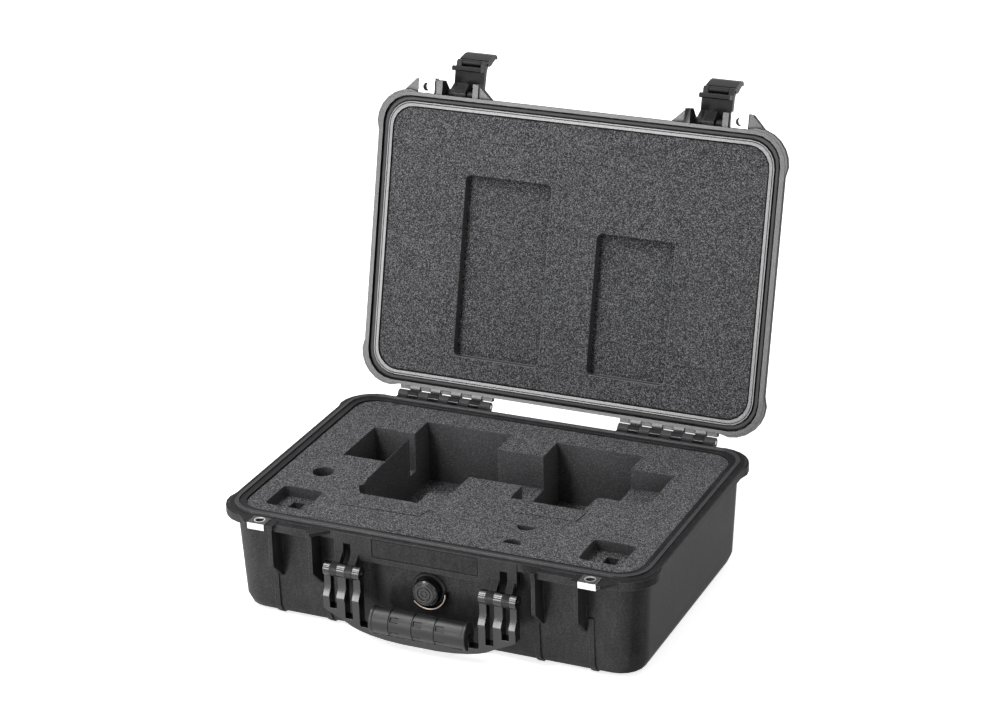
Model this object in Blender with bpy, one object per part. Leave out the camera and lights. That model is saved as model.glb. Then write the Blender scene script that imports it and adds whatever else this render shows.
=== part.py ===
"""Hard carrying case for a small drone: open lid, cut foam, two latches, fold-down handle.

Metres, +Z up, front at -Y. The origin is the middle of the base's underside.
Everything that moves with the lid is modelled closed and then turned on its hinge.
"""
import math

import bmesh
import bpy
from mathutils import Vector

for old in list(bpy.data.objects):
    bpy.data.objects.remove(old, do_unlink=True)

# Main sizes
RIM_Z = 0.1150            # height of the plane where lid and base meet
INSIDE_X = 0.2124         # half width of the opening
INSIDE_Y = 0.1437         # half depth of the opening
INSIDE_R = 0.0240         # corner radius of the opening
WALL_X = 0.2212           # half width of the wall just under the flange
WALL_Y = 0.1505           # half depth of the wall just under the flange
LEAN = 0.0040             # how much the outer wall leans in from flange to floor
DRAFT = 0.0050            # the same for the inner wall
FLANGE_X = 0.2290
FLANGE_Y = 0.1585
STEP = 0.0006             # the flange sits this far below the rim
TONGUE = 0.0016           # the ridge on the rim that presses into the lid's seal
LID_TOP = 0.0515          # lid height above the rim plane, without its ribs
LID_OPEN = math.radians(103.8)
CORNER = 0.034            # outer corner radius of the flange
BUMPER = 0.0026           # how far the corner bumpers stand out
ARC = 5                   # straight pieces in each quarter turn of a corner

# Hinges at the back
HINGE_Y = 0.1685
HINGE_Z = RIM_Z - 0.0013
HINGE_R = 0.0052
HINGE_PIN_R = 0.0021
HINGE_MID = 0.1278        # middle of each hinge from the centre line
KNUCKLE = 0.0121          # pitch of the knuckles

# Latches at the front
LATCH_X = 0.1400
LATCH_HALF = 0.0170
LATCH_PIN_Y = -0.1594
LATCH_PIN_Z = RIM_Z + 0.0150
LATCH_OPEN = math.radians(90.0)
LEVER_Y = -0.1804
LEVER_Z = RIM_Z - 0.0176
LEVER_OPEN = math.radians(66.8)
PIN_R = 0.0016
FIN_OUT = (0.1610, 0.1650)
FIN_IN = (0.1170, 0.1210)
LID_FINS = ((0.1577, 0.1640), (0.1160, 0.1223))
RUNNERS = (0.1700, 0.1133)
EAR_Y = -0.1734
LOCK_X = 0.1760
LOCK_Y = -0.1655
LOCK_R = 0.0045

# Handle
GRIP_PIVOT_Y = -0.1695
GRIP_PIVOT_Z = RIM_Z - 0.0370
GRIP_R = 0.0072
PRONGS = ((0.0638, 0.0712), (0.0795, 0.0882), (0.0960, 0.1028))
BASE_KNUCKLES = ((0.0715, 0.0792), (0.0885, 0.0957))
GRIP_DROP = 0.0458        # pivot to the middle of the grip
GRIP_BACK = 0.0030        # the grip's middle lies this far in front of the pivot

# Vent
VENT_Z = RIM_Z - 0.0510
VENT_WALL_Y = -0.1487     # outer face of the wall at the vent

# Foam
FOAM_TOP = RIM_Z - 0.0020
FOAM_SPLIT = 0.0270
FLOOR_Z = 0.0062

GAP = 0.0003

PARTS = bpy.data.collections.new("drone_carrying_case")
TOOLS = bpy.data.collections.new("cutting_tools")
for collection in (PARTS, TOOLS):
    bpy.context.scene.collection.children.link(collection)


def material(name, colour, rough, metal=0.0):
    mat = bpy.data.materials.new(name)
    mat.use_nodes = True
    shader = mat.node_tree.nodes["Principled BSDF"]
    shader.inputs["Base Color"].default_value = (*colour, 1.0)
    shader.inputs["Roughness"].default_value = rough
    shader.inputs["Metallic"].default_value = metal
    return mat


SHELL = material("moulded_black_plastic", (0.035, 0.035, 0.037), 0.45)
LATCH = material("satin_black_plastic", (0.02, 0.02, 0.021), 0.32)
FOAM = material("charcoal_foam", (0.075, 0.075, 0.08), 0.95)
RUBBER = material("grey_rubber", (0.06, 0.06, 0.063), 0.6)
STEEL = material("stainless_steel", (0.6, 0.6, 0.6), 0.3, 1.0)
BRASS = material("steel_pin", (0.5, 0.5, 0.52), 0.35, 1.0)


def empty(name, place, turn=0.0, parent=None):
    """A joint axis along X; place is given in the closed case."""
    obj = bpy.data.objects.new(name, None)
    obj.empty_display_size = 0.02
    PARTS.objects.link(obj)
    base = Vector((0, 0, 0)) if parent is None else Vector(parent["closed_at"])
    obj.parent = parent
    obj.location = Vector(place) - base
    obj.rotation_euler = (turn, 0, 0)
    obj["closed_at"] = list(place)
    return obj


def make(bm, name, mat, parent=None, tool=False):
    """Turn a bmesh that is drawn in closed-case coordinates into an object."""
    bmesh.ops.recalc_face_normals(bm, faces=bm.faces)
    if parent is not None:
        bmesh.ops.translate(bm, verts=bm.verts, vec=-Vector(parent["closed_at"]))
    mesh = bpy.data.meshes.new(name)
    bm.to_mesh(mesh)
    bm.free()
    obj = bpy.data.objects.new(name, mesh)
    (TOOLS if tool else PARTS).objects.link(obj)
    obj.parent = parent
    if tool:
        obj.hide_render = True
        obj.display_type = "WIRE"
    else:
        mesh.materials.append(mat)
    return obj


def loft(rings, capped=True):
    """Skin a stack of equal-sized rings; capped closes both ends, else the stack loops."""
    bm = bmesh.new()
    rows = []
    for ring in rings:
        rows.append([bm.verts.new(p) for p in ring])
    count = len(rows[0])
    pairs = list(zip(rows, rows[1:]))
    if not capped:
        pairs.append((rows[-1], rows[0]))
    for low, high in pairs:
        for i in range(count):
            j = (i + 1) % count
            bm.faces.new((low[i], low[j], high[j], high[i]))
    if capped:
        bm.faces.new(rows[0][::-1])
        bm.faces.new(rows[-1])
    return bm


def round_rect(half_x, half_y, radius, z, arc=ARC):
    points = []
    for quarter, (sx, sy) in enumerate(((1, 1), (-1, 1), (-1, -1), (1, -1))):
        for step in range(arc + 1):
            angle = math.pi / 2 * (quarter + step / arc)
            x = sx * (half_x - radius) + radius * math.cos(angle)
            y = sy * (half_y - radius) + radius * math.sin(angle)
            points.append((x, y, z))
    return points


def prism_x(profile, x0, x1):
    """Extrude a (y, z) outline along X."""
    return loft([[(x, y, z) for y, z in profile] for x in (x0, x1)])


def prism_z(outline, z0, z1):
    """Extrude an (x, y) outline along Z."""
    return loft([[(x, y, z) for x, y in outline] for z in (z0, z1)])


def box(x0, x1, y0, y1, z0, z1):
    return prism_z(((x0, y0), (x1, y0), (x1, y1), (x0, y1)), z0, z1)


def rod_x(x0, x1, y, z, radius, sides=16):
    turn = [2 * math.pi * i / sides for i in range(sides)]
    return prism_x([(y + radius * math.cos(a), z + radius * math.sin(a)) for a in turn], x0, x1)


def disc(x, y, radius, sides=20):
    turn = [2 * math.pi * i / sides for i in range(sides)]
    return [(x + radius * math.cos(a), y + radius * math.sin(a)) for a in turn]


def turned_y(profile, x, z, sides=24):
    """Turn an open (radius, y) outline about an axis along Y."""
    rings = []
    for radius, y in profile:
        ring = []
        for i in range(sides):
            a = 2 * math.pi * i / sides
            ring.append((x + radius * math.cos(a), y, z + radius * math.sin(a)))
        rings.append(ring)
    return rings


def vent_rings(profile, sides=24):
    """Turn a (radius, height above the front wall) outline about the vent's axis."""
    return turned_y([(radius, VENT_WALL_Y - out) for radius, out in profile], 0.0, VENT_Z, sides)


def combine(obj, operation, shapes):
    """Join or cut with a group of tool shapes, each drawn in closed-case coordinates."""
    group = bpy.data.collections.new(obj.name + "_" + operation.lower())
    TOOLS.children.link(group)
    for number, bm in enumerate(shapes):
        tool = make(bm, f"{obj.name}_{operation.lower()}_{number}", None, obj.parent, True)
        TOOLS.objects.unlink(tool)
        group.objects.link(tool)
    mod = obj.modifiers.new(operation.title(), "BOOLEAN")
    mod.operation = operation
    mod.operand_type = "COLLECTION"
    mod.collection = group
    mod.solver = "EXACT"


def both(shape):
    """Call a shape maker for the left and the right side."""
    return [shape(side) for side in (-1, 1)]


def span(side, low, high):
    return (side * low, side * high) if side > 0 else (side * high, side * low)


def corner_pads(flange_x, flange_y, z0, z1):
    """Thicker bumpers on the four corners of a flange."""
    shapes = []
    centre_x = flange_x - CORNER
    centre_y = flange_y - CORNER
    turn = [math.pi / 2 * i / 6 for i in range(7)]
    outline = [(flange_x - 0.0005, centre_y - 0.013)]
    outline += [(centre_x + (CORNER + BUMPER) * math.cos(a), centre_y + (CORNER + BUMPER) * math.sin(a))
                for a in turn]
    outline += [(centre_x - 0.013, flange_y - 0.0005), (centre_x - 0.013, flange_y - 0.0030)]
    outline += [(centre_x + (CORNER - 0.0030) * math.cos(a), centre_y + (CORNER - 0.0030) * math.sin(a))
                for a in reversed(turn)]
    outline.append((flange_x - 0.0030, centre_y - 0.013))
    for sx in (-1, 1):
        for sy in (-1, 1):
            shapes.append(prism_z([(sx * x, sy * y) for x, y in outline], z0, z1))
    return shapes


def ears(z0, z1):
    """Flange ears that carry the padlock plates, and the small gussets inboard of the latches."""
    shapes = []
    for side in (-1, 1):
        outer = ((0.1585, -0.1560), (0.1585, EAR_Y), (0.1890, EAR_Y), (0.2040, -0.1580), (0.2040, -0.1560))
        inner = ((0.1010, -0.1560), (0.1010, -0.1580), (0.1175, EAR_Y), (0.1215, EAR_Y), (0.1215, -0.1560))
        for outline in (outer, inner):
            points = [(side * x, y) for x, y in outline]
            shapes.append(prism_z(points, z0, z1))
    return shapes


def hinge_bits(first, count, lid):
    """Knuckles of both hinges with their webs: every second one belongs to the lid."""
    rods = []
    for side in (-1, 1):
        for k in range(first, first + 2 * count, 2):
            mid = side * HINGE_MID + (k - 4) * KNUCKLE
            half = KNUCKLE / 2 - 0.0003
            x0, x1 = mid - half, mid + half
            rods.append(rod_x(x0, x1, HINGE_Y, HINGE_Z, HINGE_R))
            if lid:
                web = ((0.1560, RIM_Z + 0.0072), (0.1560, RIM_Z + 0.0002), (HINGE_Y, HINGE_Z - 0.0012),
                       (HINGE_Y + 0.002, HINGE_Z + 0.0045))
            else:
                web = ((0.1560, RIM_Z - 0.0096), (HINGE_Y, HINGE_Z - 0.0048), (HINGE_Y, HINGE_Z),
                       (0.1640, RIM_Z - 0.0010), (0.1560, RIM_Z - 0.0010))
            rods.append(prism_x(web, x0 + 0.0001, x1 - 0.0001))
    return rods


def hinge_bore():
    return both(lambda s: rod_x(s * HINGE_MID - 0.058, s * HINGE_MID + 0.058, HINGE_Y, HINGE_Z,
                                HINGE_PIN_R + GAP, 12))


# The joint axes
hinge = empty("lid_hinge", (0, HINGE_Y, HINGE_Z), -LID_OPEN)
swing = empty("handle_hinge", (0, GRIP_PIVOT_Y, GRIP_PIVOT_Z))
arm_axis = {}
lever_axis = {}
for side, word in ((-1, "left"), (1, "right")):
    arm_axis[side] = empty(f"latch_hinge_{word}", (side * LATCH_X, LATCH_PIN_Y, LATCH_PIN_Z),
                           -LATCH_OPEN, hinge)
    lever_axis[side] = empty(f"lever_hinge_{word}", (side * LATCH_X, LEVER_Y, LEVER_Z),
                             -LEVER_OPEN, arm_axis[side])

# Base: one moulded tub, lofted from its underside, over the flange and down inside
BASE_RINGS = (
    (WALL_X - LEAN - 0.0120, WALL_Y - LEAN - 0.0120, 0.018, 0.0020),
    (WALL_X - LEAN - 0.0040, WALL_Y - LEAN - 0.0040, 0.025, 0.0052),
    (WALL_X - LEAN, WALL_Y - LEAN, 0.029, 0.0140),
    (WALL_X, WALL_Y, 0.030, RIM_Z - 0.0114),
    (FLANGE_X - 0.0010, FLANGE_Y - 0.0010, CORNER - 0.001, RIM_Z - 0.0108),
    (FLANGE_X, FLANGE_Y, CORNER, RIM_Z - 0.0098),
    (FLANGE_X, FLANGE_Y, CORNER, RIM_Z - 0.0014),
    (FLANGE_X - 0.0008, FLANGE_Y - 0.0008, CORNER - 0.0008, RIM_Z - STEP),
    (0.2228, 0.1541, 0.0300, RIM_Z - STEP),
    (0.2222, 0.1535, 0.0296, RIM_Z + TONGUE),
    (0.2190, 0.1503, 0.0280, RIM_Z + TONGUE),
    (0.2186, 0.1499, 0.0277, RIM_Z),
    (INSIDE_X, INSIDE_Y, INSIDE_R, RIM_Z),
    (INSIDE_X - DRAFT, INSIDE_Y - DRAFT, INSIDE_R, 0.0180),
    (INSIDE_X - DRAFT - 0.0055, INSIDE_Y - DRAFT - 0.0055, 0.0205, FLOOR_Z + 0.0036),
    (INSIDE_X - DRAFT - 0.0120, INSIDE_Y - DRAFT - 0.0120, 0.0160, FLOOR_Z),
)
base = make(loft([round_rect(*r) for r in BASE_RINGS]), "base_shell", SHELL)
joined = corner_pads(FLANGE_X, FLANGE_Y, RIM_Z - 0.0102, RIM_Z - 0.0018)
joined += ears(RIM_Z - 0.0050, RIM_Z - 0.0012)
joined += hinge_bits(0, 5, False)
fin = ((-0.1470, RIM_Z - 0.0030), (-0.1575, RIM_Z - 0.0030), (-0.1690, RIM_Z - 0.0045),
       (-0.1702, RIM_Z - 0.0062), (-0.1702, RIM_Z - 0.0470), (-0.1500, RIM_Z - 0.0660), (-0.1470, RIM_Z - 0.0660))
runner = ((-0.1330, 0.0000), (-0.1390, 0.0013), (-0.1450, 0.0058), (-0.1487, 0.0140), (-0.1503, 0.0640),
          (-0.1460, 0.0640), (-0.1425, 0.0160), (-0.1330, 0.0040), (0.1330, 0.0040), (0.1425, 0.0160),
          (0.1460, 0.0700), (0.1506, 0.0700), (0.1487, 0.0140), (0.1450, 0.0058), (0.1390, 0.0013),
          (0.1330, 0.0000))
for side in (-1, 1):
    for low, high in (FIN_OUT, FIN_IN):
        joined.append(prism_x(fin, *span(side, low, high)))
    for mid in RUNNERS:
        joined.append(prism_x(runner, side * mid - 0.0027, side * mid + 0.0027))
joined.append(box(-0.060, 0.060, -0.040, 0.040, 0.0, 0.0035))
# The catch lip that each latch hooks under
for side in (-1, 1):
    x0, x1 = span(side, FIN_IN[1] - 0.001, FIN_OUT[0] + 0.001)
    joined.append(box(x0, x1, -0.1668, -0.152, RIM_Z - 0.0096, RIM_Z - 0.0020))
# The front apron: a skirt with side walls, open below, that carries handle and name plate
joined.append(box(-0.0976, 0.0976, -0.1595, -0.1555, RIM_Z - 0.0280, RIM_Z - 0.0016))
for side in (-1, 1):
    x0, x1 = span(side, 0.0942, 0.0974)
    joined.append(box(x0, x1, -0.1590, -0.1465, RIM_Z - 0.0278, RIM_Z - 0.0040))
    for low, high in BASE_KNUCKLES:
        x0, x1 = span(side, low, high)
        lug = [(-0.1560, RIM_Z - 0.0210), (-0.1593, RIM_Z - 0.0210)]
        for i in range(12):
            a = math.radians(70 + 21 * i)
            lug.append((GRIP_PIVOT_Y + GRIP_R * math.cos(a), GRIP_PIVOT_Z + GRIP_R * math.sin(a)))
        lug.append((-0.1560, RIM_Z - 0.0300))
        joined.append(prism_x(lug, x0, x1))
# The boss round the vent
BOSS = ((0.0180, -0.0023), (0.0180, 0.0018), (0.0164, 0.0030), (0.0150, 0.0030), (0.0142, 0.0014),
        (0.0142, -0.0023))
joined.append(loft(vent_rings(BOSS), False))
combine(base, "UNION", joined)
cuts = hinge_bore()
cuts += both(lambda s: prism_z(disc(s * LOCK_X, LOCK_Y, LOCK_R + 0.0003), RIM_Z - 0.020, RIM_Z))
cuts += both(lambda s: rod_x(*span(s, 0.0690, 0.0990), GRIP_PIVOT_Y, GRIP_PIVOT_Z, 0.0019 + GAP, 12))
cuts += both(lambda s: box(*span(s, 0.0798, 0.0879), -0.164, -0.1550, RIM_Z - 0.0290, RIM_Z - 0.0123))
cuts.append(box(-0.0570, 0.0570, -0.170, -0.1583, RIM_Z - 0.0228, RIM_Z - 0.0022))
cuts.append(loft(turned_y(((0.0083, -0.170), (0.0083, -0.130)), 0.0, VENT_Z, 20)))
combine(base, "DIFFERENCE", cuts)

# Lid: the same kind of tub upside down, with the seal groove and the overlapping skirt
LID_RINGS = (
    (WALL_X - LEAN - 0.0120, WALL_Y - LEAN - 0.0120, 0.018, LID_TOP),
    (WALL_X - LEAN - 0.0040, WALL_Y - LEAN - 0.0040, 0.025, LID_TOP - 0.0030),
    (WALL_X - LEAN, WALL_Y - LEAN, 0.029, LID_TOP - 0.0110),
    (WALL_X, WALL_Y, 0.030, 0.0088),
    (FLANGE_X - 0.0015, FLANGE_Y - 0.0010, CORNER - 0.001, 0.0080),
    (FLANGE_X - 0.0005, FLANGE_Y, CORNER, 0.0070),
    (FLANGE_X - 0.0005, FLANGE_Y, CORNER, -0.0003),
    (0.2237, 0.1550, 0.0305, -0.0003),
    (0.2237, 0.1550, 0.0305, 0.0052),
    (0.2176, 0.1488, 0.0272, 0.0052),
    (0.2174, 0.1486, 0.0270, GAP),
    (INSIDE_X, INSIDE_Y, INSIDE_R, GAP),
    (INSIDE_X - 0.0025, INSIDE_Y - 0.0025, INSIDE_R, 0.0360),
    (INSIDE_X - 0.0070, INSIDE_Y - 0.0070, 0.0210, 0.0430),
    (INSIDE_X - 0.0140, INSIDE_Y - 0.0140, 0.0160, 0.0465),
)
lid = make(loft([round_rect(a, b, r, RIM_Z + h) for a, b, r, h in LID_RINGS]), "lid_shell", SHELL, hinge)
joined = corner_pads(FLANGE_X - 0.0005, FLANGE_Y, RIM_Z + 0.0001, RIM_Z + 0.0066)
joined += ears(RIM_Z + 0.0022, RIM_Z + 0.0095)
joined += hinge_bits(1, 4, True)
# A rail along each hinge closes the gap above the base's knuckles
joined += both(lambda s: box(s * HINGE_MID - 0.0543, s * HINGE_MID + 0.0543, 0.1570, 0.1629,
                             RIM_Z + 0.0004, RIM_Z + 0.0066))
top = RIM_Z + LID_TOP
fin = ((-0.1415, RIM_Z + 0.0395), (-0.1440, RIM_Z + 0.0430), (EAR_Y, RIM_Z + 0.0100), (EAR_Y, RIM_Z + 0.0004),
       (-0.1562, RIM_Z + 0.0004), (-0.1562, RIM_Z + 0.0062), (-0.1440, RIM_Z + 0.0064))
runner = ((-0.1320, top + 0.0050), (-0.1395, top + 0.0030), (-0.1455, top - 0.0030), (-0.1482, top - 0.0120),
          (-0.1440, top - 0.0120), (-0.1340, top - 0.0022), (0.1340, top - 0.0022), (0.1440, top - 0.0120),
          (0.1470, top - 0.0380), (0.1516, top - 0.0380), (0.1482, top - 0.0120), (0.1455, top - 0.0030),
          (0.1395, top + 0.0030), (0.1320, top + 0.0050))
for side in (-1, 1):
    for low, high in LID_FINS:
        joined.append(prism_x(fin, *span(side, low, high)))
    for mid in RUNNERS:
        joined.append(prism_x(runner, side * mid - 0.0027, side * mid + 0.0027))
# The block between the cheeks of each latch, which holds the latch pin
BLOCK = [(-0.1440, LATCH_PIN_Z - 0.0060)]
for deg in (250, 225, 200, 180, 155, 130, 110, 90):
    a = math.radians(deg)
    reach = 0.0125 if deg > 100 and deg < 200 else 0.0085
    BLOCK.append((LATCH_PIN_Y + reach * math.cos(a), LATCH_PIN_Z + reach * math.sin(a)))
BLOCK.append((-0.1440, LATCH_PIN_Z + 0.0100))
joined += both(lambda s: prism_x(BLOCK, s * LATCH_X - 0.0062, s * LATCH_X + 0.0062))
combine(lid, "UNION", joined)
cuts = hinge_bore()
cuts += both(lambda s: prism_z(disc(s * LOCK_X, LOCK_Y, LOCK_R + 0.0003), RIM_Z - 0.010, RIM_Z + 0.010))
cuts += both(lambda s: rod_x(s * LATCH_X - 0.0175, s * LATCH_X + 0.0175, LATCH_PIN_Y, LATCH_PIN_Z,
                             PIN_R + GAP, 12))
combine(lid, "DIFFERENCE", cuts)

# Rubber seal in the lid's groove
SEAL = ((0.2184, 0.1496, 0.0276, 0.0049), (0.2184, 0.1496, 0.0276, 0.0026), (0.2192, 0.1504, 0.0280, 0.0019),
        (0.2214, 0.1526, 0.0292, 0.0019), (0.2222, 0.1534, 0.0296, 0.0026), (0.2222, 0.1534, 0.0296, 0.0049))
make(loft([round_rect(a, b, r, RIM_Z + h) for a, b, r, h in SEAL], False), "lid_seal", RUBBER, hinge)

# Lid foam with its two shallow rounded recesses
LID_FOAM = ((0.2118, 0.1431, 0.0236, 0.0012), (0.2094, 0.1407, 0.0236, 0.0350), (0.2046, 0.1359, 0.0205, 0.0420))
lid_foam = make(loft([round_rect(a, b, r, RIM_Z + h) for a, b, r, h in LID_FOAM]), "lid_foam", FOAM, hinge)
RECESSES = ((-0.1230, -0.0242, -0.0770, 0.1190), (0.0308, 0.1182, -0.0330, 0.1180))


def recess(x0, x1, y0, y1, radius, z0, z1, arc=3):
    mid_x, mid_y = (x0 + x1) / 2, (y0 + y1) / 2
    rings = []
    for z in (z0, z1):
        ring = round_rect((x1 - x0) / 2, (y1 - y0) / 2, radius, z, arc)
        rings.append([(x + mid_x, y + mid_y, z) for x, y, z in ring])
    return loft(rings)


combine(lid_foam, "DIFFERENCE", [recess(*r, 0.006, RIM_Z - 0.004, RIM_Z + 0.0112) for r in RECESSES])

# Base foam: the cut block above a plain floor pad
BLOCK_RINGS = ((0.2072, 0.1385, 0.0237, FOAM_SPLIT + GAP), (0.2118, 0.1431, 0.0237, FOAM_TOP))
foam = make(loft([round_rect(*r) for r in BLOCK_RINGS]), "base_foam", FOAM)
PAD_RINGS = ((0.1945, 0.1258, 0.0156, FLOOR_Z + 0.0012), (0.2008, 0.1321, 0.0202, FLOOR_Z + 0.0050),
             (0.2066, 0.1379, 0.0237, 0.0188), (0.2070, 0.1383, 0.0237, FOAM_SPLIT))
make(loft([round_rect(*r) for r in PAD_RINGS]), "base_foam_pad", FOAM)
ABOVE = RIM_Z + 0.010
DEEP = RIM_Z - 0.070
LEFT_BAY = ((-0.1222, 0.112), (-0.1200, -0.038), (-0.1170, -0.050), (-0.1210, -0.056), (-0.1120, -0.071),
            (-0.0480, -0.071), (-0.0480, -0.044), (-0.0350, -0.044), (-0.0250, -0.036), (-0.0250, 0.112))
RIGHT_BAY = ((0.0270, 0.112), (0.0270, 0.0030), (0.0340, 0.0030), (0.0340, -0.027), (0.1130, -0.027),
             (0.1150, 0.004), (0.1222, 0.006), (0.1222, 0.112))
cuts = [prism_z(LEFT_BAY, DEEP, ABOVE), prism_z(RIGHT_BAY, DEEP, ABOVE)]
cuts.append(box(-0.0260, 0.0280, 0.0030, 0.0750, RIM_Z - 0.040, ABOVE))
cuts.append(box(-0.1690, -0.1215, 0.0060, 0.0795, RIM_Z - 0.045, ABOVE))
cuts.append(box(0.1215, 0.1690, 0.0060, 0.0790, RIM_Z - 0.024, ABOVE))
cuts.append(prism_z(disc(-0.1697, -0.0390, 0.0112, 16), RIM_Z - 0.050, ABOVE))
# Two half-round finger cuts that face each other
for x, y, way in ((0.0744, -0.0797, -1), (0.0752, -0.1200, 1)):
    turn = [math.pi * i / 8 for i in range(9)]
    half = [(x + 0.0096 * math.cos(a), y + way * 0.0096 * math.sin(a)) for a in turn]
    cuts.append(prism_z(half, RIM_Z - 0.030, ABOVE))
for side in (-1, 1):
    x0, x1 = span(side, 0.1470, 0.1915)
    cuts.append(recess(x0, x1, -0.1260, -0.0815, 0.005, RIM_Z - 0.0140, ABOVE))
    cuts.append(box(side * 0.1705 - 0.0064, side * 0.1705 + 0.0064, -0.1060, -0.0915, RIM_Z - 0.045, ABOVE))
# Room behind the front wall for the vent's nut
cuts.append(loft(turned_y(((0.0145, -0.160), (0.0145, -0.1325)), 0.0, VENT_Z, 16)))
combine(foam, "DIFFERENCE", cuts)

# Bare name plate in the apron's recess
make(box(-0.0566, 0.0566, -0.1591, -0.1586, RIM_Z - 0.0224, RIM_Z - 0.0026), "name_plate", LATCH)

# Pins
for side, word in ((-1, "left"), (1, "right")):
    mid = side * HINGE_MID
    make(rod_x(mid - 0.0542, mid + 0.0542, HINGE_Y, HINGE_Z, HINGE_PIN_R, 12), f"hinge_pin_{word}", BRASS)
    x0, x1 = span(side, 0.0646, 0.1020)
    make(rod_x(x0, x1, GRIP_PIVOT_Y, GRIP_PIVOT_Z, 0.0019, 12), f"handle_pin_{word}", BRASS)
    mid = side * LATCH_X
    make(rod_x(mid - 0.0168, mid + 0.0168, LATCH_PIN_Y, LATCH_PIN_Z, PIN_R, 12), f"latch_pin_{word}",
         BRASS, hinge)
    make(rod_x(mid - 0.0160, mid + 0.0160, LEVER_Y, LEVER_Z, PIN_R, 12), f"lever_pin_{word}",
         BRASS, arm_axis[side])


def lock_plate(name, side, inner, outer, back, parent):
    """Folded steel clip round an ear tip; inner and outer are the ear's two faces."""
    t = 0.0012
    sign = 1 if inner > outer else -1
    face = inner + sign * GAP
    rear = outer - sign * GAP
    front = EAR_Y - GAP
    outline = ((back, face + sign * t), (front - t, face + sign * t), (front - t, rear - sign * t),
               (back, rear - sign * t), (back, rear), (front, rear),
               (front, face), (back, face))
    x0, x1 = span(side, 0.1668, 0.1852)
    clip = make(prism_x(outline, x0, x1), name, STEEL, parent)
    hole = prism_z(disc(side * LOCK_X, LOCK_Y, LOCK_R), min(inner, outer) - 0.01, max(inner, outer) + 0.01)
    combine(clip, "DIFFERENCE", [hole])


for side, word in ((-1, "left"), (1, "right")):
    lock_plate(f"base_lock_plate_{word}", side, RIM_Z - 0.0012, RIM_Z - 0.0050, -0.1590, None)
    lock_plate(f"lid_lock_plate_{word}", side, RIM_Z + 0.0022, RIM_Z + 0.0095, -0.1590, hinge)

# Latches: an arm that hooks under the base and a lever that throws it
for side, word in ((-1, "left"), (1, "right")):
    mid = side * LATCH_X
    py, pz = LATCH_PIN_Y, LATCH_PIN_Z
    cheek = []
    for deg in (60, 30, 0, 330, 300, 270):
        a = math.radians(deg)
        cheek.append((py + 0.0050 * math.cos(a), pz + 0.0050 * math.sin(a)))
    cheek += [(py - 0.0060, pz - 0.0050), (-0.1742, pz - 0.0110), (-0.1742, LEVER_Z + 0.0046)]
    for deg in (20, 340, 300, 260, 220, 180):
        a = math.radians(deg)
        cheek.append((LEVER_Y + 0.0040 * math.cos(a), LEVER_Z + 0.0040 * math.sin(a)))
    cheek += [(-0.1812, LEVER_Z + 0.0070), (-0.1796, pz - 0.0030), (-0.1760, pz + 0.0036),
              (-0.1720, pz + 0.0050)]
    arm = make(prism_x(cheek, mid - LATCH_HALF, mid - 0.0068), f"latch_arm_{word}", LATCH, arm_axis[side])
    body = ((-0.1742, LEVER_Z + 0.0050), (-0.1742, pz - 0.0060), (-0.1752, pz - 0.0030),
            (-0.1784, pz - 0.0060), (-0.1802, LEVER_Z + 0.0070), (-0.1802, LEVER_Z + 0.0050))
    nose = ((-0.1780, LEVER_Z + 0.0068), (-0.1735, LEVER_Z + 0.0030), (-0.1660, LEVER_Z + 0.0024),
            (-0.1642, LEVER_Z + 0.0036), (-0.1642, LEVER_Z + 0.0066), (-0.1654, LEVER_Z + 0.0076),
            (-0.1745, LEVER_Z + 0.0076), (-0.1780, LEVER_Z + 0.0095))
    combine(arm, "UNION", [
        prism_x(cheek, mid + 0.0068, mid + LATCH_HALF),
        prism_x(body, mid - 0.0160, mid + 0.0160),
        prism_x(nose, mid - LATCH_HALF + 0.0002, mid + LATCH_HALF - 0.0002)])
    combine(arm, "DIFFERENCE", [
        rod_x(mid - 0.02, mid + 0.02, py, pz, PIN_R + GAP, 12),
        rod_x(mid - 0.02, mid + 0.02, LEVER_Y, LEVER_Z, PIN_R + GAP, 12),
        box(mid - 0.0112, mid + 0.0112, -0.190, -0.1755, LEVER_Z - 0.0060, LEVER_Z + 0.0042)])
    ly, lz = LEVER_Y, LEVER_Z
    barrel = rod_x(mid - 0.0108, mid + 0.0108, ly, lz, 0.0038)
    lever = make(barrel, f"latch_lever_{word}", LATCH, lever_axis[side])
    tab = ((ly + 0.0030, lz - 0.0048), (ly + 0.0026, lz - 0.0180), (ly + 0.0008, lz - 0.0246),
           (ly - 0.0018, lz - 0.0276), (ly - 0.0052, lz - 0.0284), (ly - 0.0058, lz - 0.0262),
           (ly - 0.0040, lz - 0.0226), (ly - 0.0046, lz - 0.0160), (ly - 0.0058, lz - 0.0110),
           (ly - 0.0050, lz - 0.0062), (ly - 0.0034, lz - 0.0048))
    neck = ((ly + 0.0022, lz + 0.0004), (ly - 0.0022, lz + 0.0004), (ly - 0.0026, lz - 0.0070),
            (ly + 0.0022, lz - 0.0070))
    combine(lever, "UNION", [prism_x(tab, mid - 0.0166, mid + 0.0166),
                             prism_x(neck, mid - 0.0106, mid + 0.0106)])
    combine(lever, "DIFFERENCE", [rod_x(mid - 0.02, mid + 0.02, ly, lz, PIN_R + GAP, 12)])

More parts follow.
